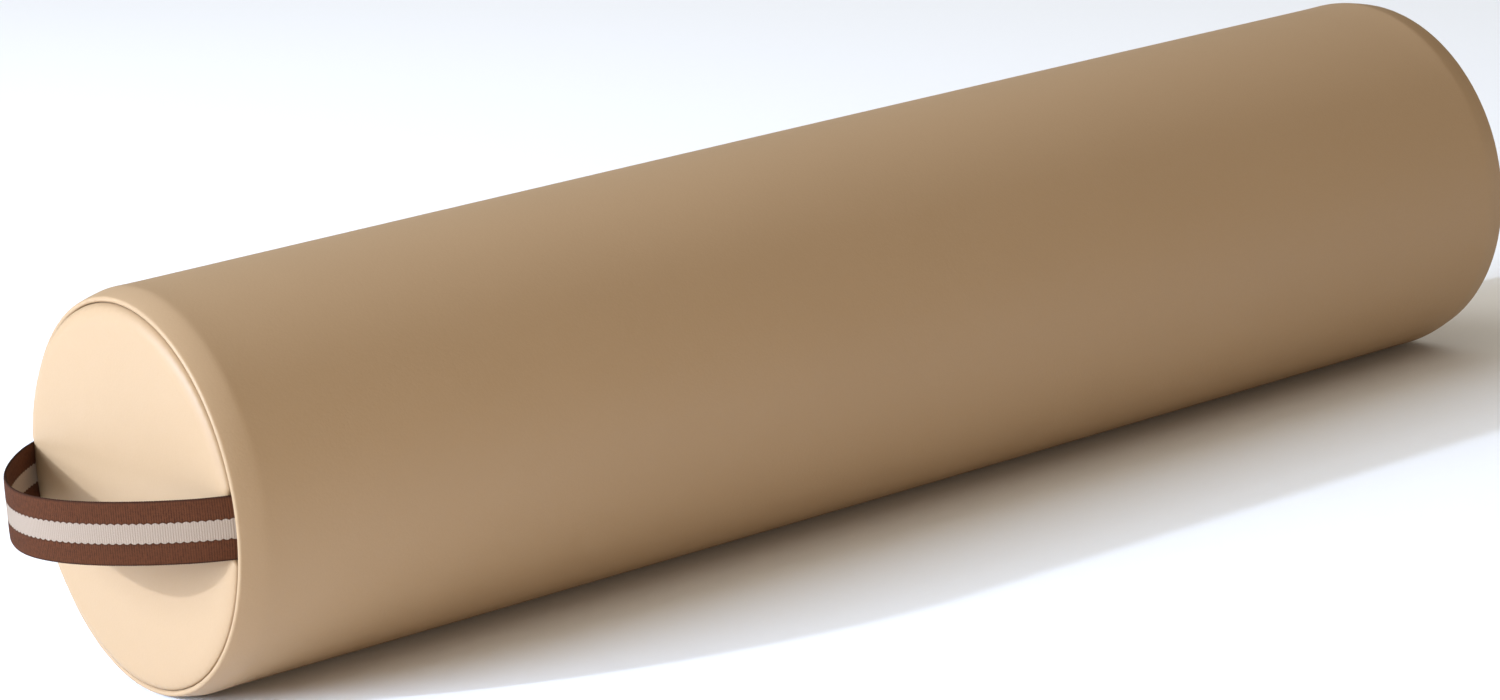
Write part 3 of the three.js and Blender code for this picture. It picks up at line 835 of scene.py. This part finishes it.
def cut_plate(loops, low, high, bevel):
    """Points and faces of a flat plate with rounded edges. loops are its outline and its holes."""
    curve = bpy.data.curves.new("plate", "CURVE")
    curve.dimensions, curve.fill_mode = "2D", "BOTH"
    curve.bevel_depth, curve.bevel_resolution, curve.offset = bevel / MM, 3, -bevel / MM
    curve.extrude = (high - low) / 2 / MM - bevel / MM
    for loop in loops:
        spline = curve.splines.new("POLY")
        spline.points.add(len(loop) - 1)
        for point, (x, y) in zip(spline.points, loop):
            point.co = (x / MM, y / MM, 0, 1)
        spline.use_cyclic_u = True
    holder = bpy.data.objects.new("plate", curve)
    mesh = bpy.data.meshes.new_from_object(holder)
    points = np.array([vertex.co for vertex in mesh.vertices]) * MM + [0, 0, (low + high) / 2]
    faces = [list(face.vertices) for face in mesh.polygons]
    bpy.data.objects.remove(holder)
    bpy.data.meshes.remove(mesh)
    return points, faces


STOP_TOP, STOP_BOTTOM = 1.25 * MM, -1.0 * MM
STOP_FROM, STOP_TO = 0.65 * MM, 2.9 * MM  # across, from the zip's middle line


def make_stop(name, node, across_low, across_high):
    """A crimped metal stop: a rounded block with a groove pressed across it."""
    low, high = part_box(node)
    block = rounded_loop((low.x, across_low), (high.x, across_high), 0.5 * MM)
    middle = (low.x + high.x) / 2
    inset = 0.35 * MM
    parts = [cut_plate([block], STOP_BOTTOM, 0.95 * MM, 0.3 * MM)]
    for start, end in ((-1.25 * MM, -0.35 * MM), (0.35 * MM, 1.25 * MM)):
        corners = (middle + start, across_low + inset), (middle + end, across_high - inset)
        ridge = rounded_loop(*corners, 0.3 * MM)
        parts.append(cut_plate([ridge], 0.6 * MM, STOP_TOP, 0.2 * MM))
    return zip_piece(name, parts, METAL)


SLIDER_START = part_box("zip_slider")[0].x
SLIDER_MIDDLE = pull_axis.x
TOP_PLATE, BOTTOM_PLATE, PLATE = 1.0 * MM, -2.35 * MM, 1.2 * MM


def slider_outline():
    """Seen from above: two rounded shoulders at the end that parts the coils, then a straight end."""
    half = [(-4.6, 0), (-3.2, 0.9), (-5.0, 1.9), (-5.5, 2.9), (-5.0, 3.9), (-3.9, 4.4), (-2.0, 4.4),
            (0.5, 4.25), (3.0, 4.1), (4.7, 4.05), (5.35, 3.7), (5.5, 3.0)]
    points = np.array(half) * MM + [SLIDER_MIDDLE, 0]
    return points.tolist() + (points[:0:-1] * [1, -1]).tolist()


def make_slider():
    """A cast slider: two plates joined by a wedge, flanges round the coils and a crown for the pull."""
    parts = [
        cut_plate([slider_outline()], TOP_PLATE, TOP_PLATE + PLATE, 0.35 * MM),
        cut_plate([slider_outline()], BOTTOM_PLATE - PLATE, BOTTOM_PLATE, 0.35 * MM),
    ]
    start, end = SLIDER_MIDDLE - 3.6 * MM, SLIDER_MIDDLE + 4.9 * MM
    for side in (-1, 1):
        band = sorted((side * 3.3 * MM, side * 4.05 * MM))
        flange = rounded_loop((start, band[0]), (end, band[1]), 0.25 * MM)
        parts.append(cut_plate([flange], STOP_BOTTOM, TOP_PLATE + 0.4 * MM, 0.15 * MM))
    wedge_start = SLIDER_START + 0.9 * MM
    wedge_end = wedge_start + 1.9 * MM
    wedge = [(wedge_start, -0.25), (wedge_end, -0.1), (wedge_end, 0.1), (wedge_start, 0.25)]
    wedge = [(x, y * MM) for x, y in wedge]
    parts.append(cut_plate([wedge], BOTTOM_PLATE - 0.3 * MM, TOP_PLATE + 0.3 * MM, 0.05 * MM))
    turn = np.linspace(math.pi, 0, 25)
    crown_x = SLIDER_MIDDLE + 3.0 * MM * np.sign(np.cos(turn)) * np.abs(np.cos(turn)) ** 0.5
    crown_v = 1.9 * MM + 2.6 * MM * np.abs(np.sin(turn)) ** 0.6
    path = np.stack([crown_x, 0 * crown_x, crown_v], -1)
    along = np.tile([0, 1.0, 0], (len(path), 1))
    parts.append(swept_tube(path, along, 1.15 * MM, 20, across=0.48 * MM, squareness=3.5))
    return zip_piece("zipper_slider", parts, METAL)


PULL_LEVEL = 3.1 * MM
PULL_HALF_WIDTH, PULL_HALF_THICKNESS = 3.5 * MM, 0.6 * MM
PULL_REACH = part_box("zip_pull")[1].x - SLIDER_MIDDLE


def make_pull():
    """A flat metal pull with a window round the crown, a ribbed grip and a hole in its round tip."""
    tip = SLIDER_MIDDLE + PULL_REACH - PULL_HALF_WIDTH
    turn = np.linspace(math.pi / 2, -math.pi / 2, 25)
    outline = [(tip + PULL_HALF_WIDTH * math.cos(a), PULL_HALF_WIDTH * math.sin(a)) for a in turn]
    neck = [(8.6, 3.3), (6.6, 2.75), (5.0, 2.75), (2.0, 2.9), (0.2, 2.9), (-0.35, 2.6), (-0.6, 2.1)]
    lower = [(SLIDER_MIDDLE + x * MM, -y * MM) for x, y in neck]
    outline += lower + [(x, -y) for x, y in lower[::-1]]
    window_start, window_end = SLIDER_MIDDLE + 0.6 * MM, SLIDER_MIDDLE + 4.2 * MM
    window = rounded_loop((window_start, -1.7 * MM), (window_end, 1.7 * MM), 0.5 * MM)
    round_hole = [(tip + 1.6 * MM * math.cos(a), 1.6 * MM * math.sin(a))
                  for a in np.linspace(0, 2 * math.pi, 25)[:-1]]
    low, high = PULL_LEVEL - PULL_HALF_THICKNESS, PULL_LEVEL + PULL_HALF_THICKNESS
    parts = [cut_plate([outline, window, round_hole], low + 0.08 * MM, high - 0.08 * MM, 0.28 * MM)]
    for x in np.linspace(SLIDER_MIDDLE + 9.5 * MM, tip - 4.0 * MM, 6):
        across = np.linspace(-2.3, 2.3, 9) * MM
        rise = 0.2 * MM * (1 - (across / (2.4 * MM)) ** 4)
        for face, way in ((high - 0.2 * MM, 1), (low + 0.2 * MM, -1)):
            path = np.stack([np.full(9, x), across, face + way * (rise - 0.2 * MM)], -1)
            normals = np.tile([0, 0, 1.0], (9, 1))
            parts.append(swept_tube(path, normals, 0.2 * MM, 8, across=0.36 * MM))
    return zip_piece("zipper_pull", parts, METAL)


def make_stitches(swell):
    """The thread that sews the folded edges to the tapes, and the tacks across the slot's ends."""
    parts = []
    share = np.linspace(-1, 1, 9)
    dip = 0.30 * MM * np.abs(share) ** 3

    def stitch(x, y):
        inwards = SEAM_X - np.abs(x)
        angle = ZIP_ANGLE - y / RADIUS
        level = body_radius(inwards) + swell(x, angle) - 0.02 * MM - dip
        points = round_bolster(x, level, angle)
        normals = round_bolster(0 * angle, 1.0, angle + 0 * x) - [0, 0, AXIS_Z]
        parts.append(swept_tube(points, normals, STITCH_RADIUS, 6))

    row_half = SLOT_HALF_LENGTH + 6 * MM
    count = int(2 * row_half / STITCH_PITCH)
    for side in (-1, 1):
        for x in np.linspace(-row_half, row_half, count):
            run = x + share * STITCH_LENGTH / 2
            across = side * (slot_half_gap(run) + TOPSTITCH_IN)
            stitch(run, across)
    for end in (-1, 1):
        for across in (-1.4 * MM, 1.4 * MM):
            x = end * (row_half + STITCH_PITCH / 2)
            run = across + share * 0.8 * STITCH_LENGTH / 2
            stitch(np.full(len(share), x), run)
    return dressed(mesh_object("zipper_stitching", *joined(parts)), THREAD)


# ---- the filling ----

CORE_RADIUS, WRAP_INSIDE, WRAP_OUTSIDE = 68.6 * MM, 68.9 * MM, 74.9 * MM
CORE_HALF_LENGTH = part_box("foam_core")[1].x
CORE_DEPTH, WRAP_INSIDE_DEPTH, WRAP_OUTSIDE_DEPTH = 7.55 * MM, 7.25 * MM, 1.3 * MM
PAD_RADIUS = 66 * MM
PAD_START = SEAM_X - 9.2 * MM


def make_core():
    """The firm foam cylinder, with rounded rims."""
    rim = 2.5 * MM
    turn = np.linspace(0, math.pi / 2, 7)
    x = np.concatenate([[CORE_HALF_LENGTH], CORE_HALF_LENGTH - rim + rim * np.cos(turn)])
    radius = np.concatenate([[0], CORE_RADIUS - rim + rim * np.sin(turn)])
    middle = np.linspace(0.95, 0.05, 12) * CORE_HALF_LENGTH
    x = np.concatenate([x, middle, [0], -middle[::-1], -x[::-1]])
    radius = np.concatenate([radius, np.full(25, CORE_RADIUS), radius[::-1]])
    angle = np.linspace(0, 2 * math.pi, 145)[None]
    points = rest_on_floor(round_bolster(x[:, None], radius[:, None], angle), CORE_DEPTH)
    piece = mesh_object("filling_core", points.reshape(-1, 3), grid_faces(*points.shape[:2]))
    return dressed(piece, FOAM)


def make_wrap():
    """Soft wadding round the core, with room cut for the zip."""
    x = np.concatenate([[-1], np.linspace(-0.985, 0.985, 60), [1]])[:, None] * CORE_HALF_LENGTH
    angle = np.linspace(0, 2 * math.pi, 289)[None]
    from_zip = np.abs((angle - ZIP_ANGLE + math.pi) % (2 * math.pi) - math.pi) * RADIUS
    room = 1.3 * MM * (1 - smoothstep(18 * MM, 21 * MM, from_zip))
    room = room + 1.5 * MM * (1 - smoothstep(6.5 * MM, 9 * MM, from_zip))
    loft = 0.12 * MM * np.sin(angle * 31 + x * 90) * np.sin(angle * 17 - x * 60)
    rim = 1.5 * MM * (np.abs(x) > 0.99 * CORE_HALF_LENGTH)
    outer = round_bolster(x, WRAP_OUTSIDE - 0.12 * MM + loft - room - rim, angle)
    inner = round_bolster(x, WRAP_INSIDE, angle + 0 * x)
    outer, inner = rest_on_floor(outer, WRAP_OUTSIDE_DEPTH), rest_on_floor(inner, WRAP_INSIDE_DEPTH)
    return dressed(closed_sheet("filling_wrap", outer, inner, columns_closed=True), WADDING)


def make_end_pad(name, end, has_handle):
    """The wadding disc that domes an end panel."""
    face = [0, .1, .2, .3, .4, .5, .6, .7, .8, .87, .93, .97, .99]
    radius = PAD_RADIUS * np.array(face + [1, 1, .985, .96, 0])
    angle = np.linspace(0, 2 * math.pi, 145)[None]
    extra = uneven(angle) if has_handle else 0.0 * angle
    out = end_face(radius[:len(face), None], GROOVE_RADIUS, extra) - COVER - 0.3 * MM
    out[-3:] -= np.array([[0.2], [0.8], [1.6]]) * MM
    back = PAD_START - SEAM_X
    behind = np.array([-4 * MM, back + 2 * MM, back + 0.6 * MM, back, back])
    out = np.concatenate([out, behind[:, None] + 0 * angle])
    points = round_bolster(end * (SEAM_X + out), radius[:, None], angle)
    if has_handle:
        points = lean(points)
    piece = mesh_object(name, points.reshape(-1, 3), grid_faces(*points.shape[:2]))
    return dressed(piece, WADDING)


# ---- assembly ----


def attach(piece, body, slot, *nodes):
    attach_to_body(piece, body)
    if nodes:
        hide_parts(*nodes)
    return piece


swell = swell_lookup()
attach(make_tube_panel(swell), "cover", "leatherette", "tube_panel")
plain_end = make_end_panel("cover_plain_end", 1, False)
attach(plain_end, "cover", "leatherette", "plain_end_panel")
handle_end = make_end_panel("cover_handle_end", -1, True)
attach(handle_end, "cover", "leatherette", "handle_end_panel")

webbing = make_handle()
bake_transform(webbing)
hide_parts("handle_loop", "handle_tail_front", "handle_tail_back")

for side, direction in ZIP_SIDES:
    attach(make_zip_tape(side, direction), "cover", "zip_tape", "zip_tape_" + side)
    attach(make_zip_coil(side, direction), "cover", "zip_coil", "zip_coil_" + side)
    band = sorted((direction * STOP_FROM, direction * STOP_TO))
    stop = make_stop("zipper_top_stop_" + side, "zip_top_stop_" + side, *band)
    attach(stop, "cover", "zip_metal", "zip_top_stop_" + side)
bottom_stop = make_stop("zipper_bottom_stop", "zip_bottom_stop", -STOP_TO, STOP_TO)
attach(bottom_stop, "cover", "zip_metal", "zip_bottom_stop")
attach(make_slider(), "slider", "zip_metal", "zip_slider")
attach(make_pull(), "pull", "zip_metal", "zip_pull")
attach(make_stitches(swell), "cover", "zip_coil")

attach(make_core(), "cover", "core_foam", "foam_core")
attach(make_wrap(), "cover", "wadding", "foam_wrap")
plain_pad = make_end_pad("filling_plain_end", 1, False)
attach(plain_pad, "cover", "wadding", "plain_end_pad")
handle_pad = make_end_pad("filling_handle_end", -1, True)
attach(handle_pad, "cover", "wadding", "handle_end_pad")

# ---- the studio ----


def floor_material():
    m = Recipe("studio_floor")
    grain = m.noise(m.place(), 220.0, 3.0)
    return m.finish({
        "Base Color": m.mix(grain, colour(0.885, 0.885, 0.885), colour(0.90, 0.90, 0.90)),
        "Roughness": m.between(grain, 0.85, 0.95),
        "Specular IOR Level": 0.1,
    })


floor_corners = np.array([(-8, -8, 0), (8, -8, 0), (8, 8, 0), (-8, 8, 0)], float)
floor = mesh_object("studio_floor", floor_corners, [[0, 1, 2, 3]], smooth=False)
dressed(floor, floor_material())

HANDLE_END = Vector((-SEAM_X, 0, AXIS_Z))


def lamp(name, towards, distance, size, level, tint, target=HANDLE_END):
    """An area lamp. level is how bright it makes a white surface that faces it."""
    data = bpy.data.lights.new(name, "AREA")
    data.shape, data.size = "DISK", size
    data.energy = level * math.pi**2 * distance**2
    data.color = tint
    light = new_object(name, data)
    direction = Vector(towards).normalized()
    light.location = target - direction * distance
    light.rotation_euler = direction.to_track_quat("-Z", "Y").to_euler()


WHITE, WARM, COOL = (1.0, 1.0, 1.0), (1.0, 0.9, 0.76), (0.62, 0.76, 1.0)
lamp("key", (1, -0.36, -0.50), 4.0, 0.12, 0.96, COOL)
lamp("end_soft", (0.9, -0.18, -0.38), 2.6, 1.6, 2.02, COOL)
lamp("near_low", (0.45, 0.85, 0.01), 1.0, 0.3, 0.17, WARM)
lamp("front_low", (0.2, 0.95, 0.01), 2.4, 0.4, 0.22, WARM)
lamp("high_back", (0.3, -0.6, -0.75), 2.5, 1.2, 0.23, WHITE, Vector((0, 0, AXIS_Z)))

sun = bpy.data.lights.new("overhead", "SUN")
sun.energy, sun.angle, sun.color = 0.30 * math.pi, math.radians(80), (1, 0.94, 0.82)
overhead = new_object("overhead", sun)
overhead.rotation_euler = Vector((0.1, 0.15, -1)).to_track_quat("-Z", "Y").to_euler()

world = bpy.data.worlds.new("studio")
world.use_nodes = True
glow = world.node_tree.nodes["Background"].inputs
glow["Color"].default_value = (1, 0.92, 0.80, 1)
glow["Strength"].default_value = 0.23
bpy.context.scene.world = world
bpy.context.scene.view_settings.view_transform = "Standard"

CAMERA_AT = Vector((-1.2066, -1.5282, 0.5133))
CAMERA_AZIMUTH, CAMERA_ELEVATION = math.radians(-37.492), math.radians(12.977)
CAMERA_ROLL = math.radians(-5.067)

level_part = math.cos(CAMERA_ELEVATION)
forwards = Vector((
    -math.sin(CAMERA_AZIMUTH) * level_part,
    math.cos(CAMERA_AZIMUTH) * level_part,
    -math.sin(CAMERA_ELEVATION),
))
camera_data = bpy.data.cameras.new("camera")
camera_data.lens, camera_data.sensor_width = 119.14, 36
camera_data.clip_start, camera_data.clip_end = 0.05, 50
camera = new_object("camera", camera_data)
turned = forwards.to_track_quat("-Z", "Y").to_matrix().to_4x4() @ Matrix.Rotation(CAMERA_ROLL, 4, "Z")
camera.matrix_world = Matrix.Translation(CAMERA_AT) @ turned
bpy.context.scene.camera = camera
